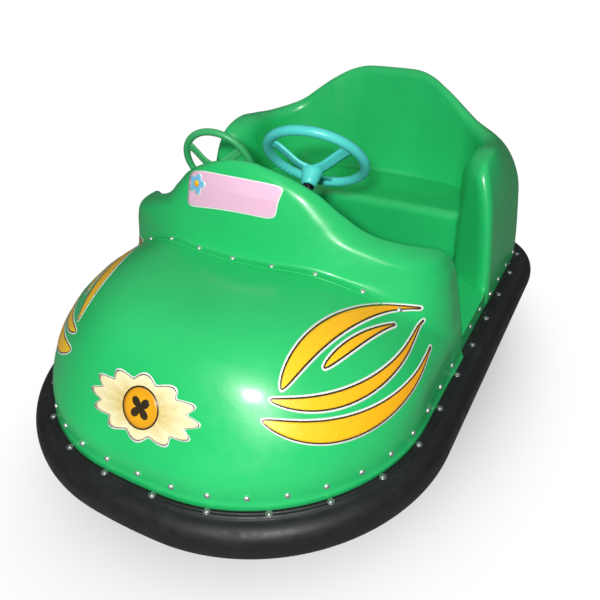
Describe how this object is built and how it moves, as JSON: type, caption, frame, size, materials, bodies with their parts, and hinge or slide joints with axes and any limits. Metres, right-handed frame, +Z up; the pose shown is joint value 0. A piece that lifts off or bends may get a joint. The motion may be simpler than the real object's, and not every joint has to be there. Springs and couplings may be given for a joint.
{
  "type": "two-seat battery bumper car",
  "caption": "Bumper car with a rounded glass-fibre body on a rubber bumper ring, a bench between high sides, two steering wheels, a steered front drive wheel and fixed rear wheels.",
  "frame": {"origin": "on the floor below the centre of the rubber bumper ring", "axes": "+X the car's left, +Y towards the tail (nose at -Y), +Z up"},
  "size_m": [1.1536, 1.6438, 0.8503],
  "materials": {
    "frame_paint": "black chassis paint",
    "bumper_rubber": "black moulded rubber, scuffed",
    "green_gelcoat": "glossy green gel coat on glass fibre",
    "steel": "bright drawn steel",
    "motor_body": "dark grey painted motor",
    "wheel_hub": "cast wheel centre",
    "tyre": "solid rubber tyre",
    "turquoise_plastic": "glossy turquoise plastic",
    "green_plastic": "glossy green plastic",
    "battery_case": "dark battery case",
    "pedal_rubber": "ribbed pedal pad"
  },
  "bodies": {
    "chassis": {"chassis_hoop_nose": "frame_paint", "chassis_hoop_left": "frame_paint", "chassis_hoop_right": "frame_paint", "chassis_hoop_tail": "frame_paint", "chassis_rail_left": "frame_paint", "chassis_rail_right": "frame_paint", "cross_beam_toe": "frame_paint", "cross_beam_seat": "frame_paint", "cross_beam_rear": "frame_paint", "front_bridge": "frame_paint", "kingpin_housing": "frame_paint", "steering_gearbox": "frame_paint", "rear_bracket_left": "frame_paint", "rear_bracket_right": "frame_paint", "battery_tray": "frame_paint", "driver_bearing": "frame_paint", "passenger_bearing": "frame_paint", "steering_bar": "frame_paint", "bumper_ring": "bumper_rubber", "base_rim": "green_gelcoat", "foot_well": "green_gelcoat", "nose_shell": "green_gelcoat", "cowl_shell": "green_gelcoat", "rear_tub": "green_gelcoat", "bench_seat": "green_gelcoat", "rear_axle_left": "steel", "rear_axle_right": "steel", "battery": "battery_case", "pedal": "pedal_rubber"},
    "front_drive": {"front_fork": "frame_paint", "front_axle": "steel", "drive_motor": "motor_body", "chain_case": "frame_paint"},
    "front_wheel": {"front_wheel_hub": "wheel_hub", "front_wheel_tyre": "tyre"},
    "rear_wheel_left": {"rear_wheel_left_hub": "wheel_hub", "rear_wheel_left_tyre": "tyre"},
    "rear_wheel_right": {"rear_wheel_right_hub": "wheel_hub", "rear_wheel_right_tyre": "tyre"},
    "driver_wheel": {"driver_rim": "turquoise_plastic", "driver_spider": "turquoise_plastic", "driver_column": "steel"},
    "passenger_wheel": {"passenger_rim": "green_plastic", "passenger_spider": "green_plastic", "passenger_column": "steel"}
  },
  "joints": [
    {"name": "driver_steering", "type": "hinge", "parent": "chassis", "child": "driver_wheel", "pos_m": [0.069, 0.007, 0.737], "axis": [-0.1066, 0.7586, 0.6428], "range_deg": [-180, 180]},
    {"name": "passenger_steering", "type": "hinge", "parent": "chassis", "child": "passenger_wheel", "pos_m": [-0.248, 0.004, 0.68], "axis": [-0.1331, 0.947, 0.2924], "continuous": true},
    {"name": "fork_steering", "type": "hinge", "parent": "chassis", "child": "front_drive", "pos_m": [0, -0.45, 0.1], "axis": [0, 0, 1], "range_deg": [-180, 180]},
    {"name": "front_wheel_spin", "type": "hinge", "parent": "front_drive", "child": "front_wheel", "pos_m": [0, -0.45, 0.1], "axis": [1, 0, 0], "continuous": true},
    {"name": "rear_left_spin", "type": "hinge", "parent": "chassis", "child": "rear_wheel_left", "pos_m": [0.377, 0.5, 0.08], "axis": [1, 0, 0], "continuous": true},
    {"name": "rear_right_spin", "type": "hinge", "parent": "chassis", "child": "rear_wheel_right", "pos_m": [-0.377, 0.5, 0.08], "axis": [1, 0, 0], "continuous": true}
  ],
  "couplings": [
    {"joint": "fork_steering", "follows": "driver_steering", "ratio": 1}
  ]
}
